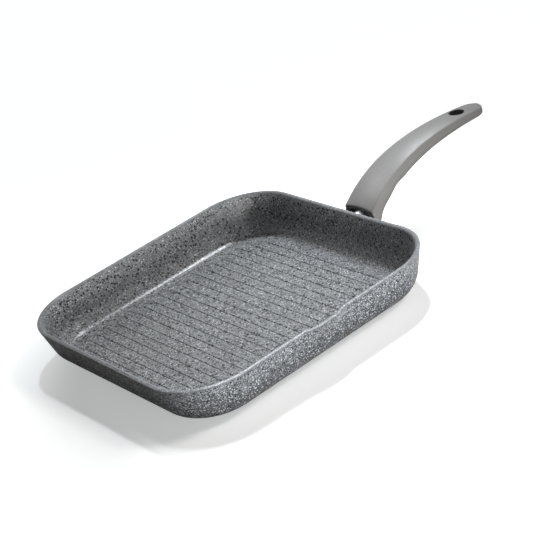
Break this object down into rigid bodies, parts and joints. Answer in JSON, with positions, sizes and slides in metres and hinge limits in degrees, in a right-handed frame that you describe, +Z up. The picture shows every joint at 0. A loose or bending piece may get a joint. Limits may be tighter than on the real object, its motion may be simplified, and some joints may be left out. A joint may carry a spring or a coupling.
{
  "type": "grill pan",
  "caption": "Square cast grill pan with flared rounded walls, a ribbed floor, a pour spout in one side wall and an arched handle with a hang hole, held on a stud by a screw.",
  "frame": {"origin": "middle of the flat underside, on the surface that the pan stands on", "axes": "+X along the handle, +Z up, the pour spout in the wall on the -Y side"},
  "size_m": [0.463, 0.2835, 0.0654],
  "materials": {
    "stone_coating": "cast aluminium under a stone-look non-stick coating, grey with black and white specks, satin",
    "soft_touch": "heat-resistant black moulding with a grey soft-touch lacquer, black at the open end and in the hang hole",
    "bare_aluminium": "turned, bare and bright",
    "screw_steel": "zinc-plated steel"
  },
  "bodies": {
    "root": {"pan_body": "stone_coating", "handle": "soft_touch", "handle_stud": "bare_aluminium", "handle_screw": "screw_steel", "spring_washer": "screw_steel", "flat_washer": "screw_steel"}
  },
  "joints": []
}
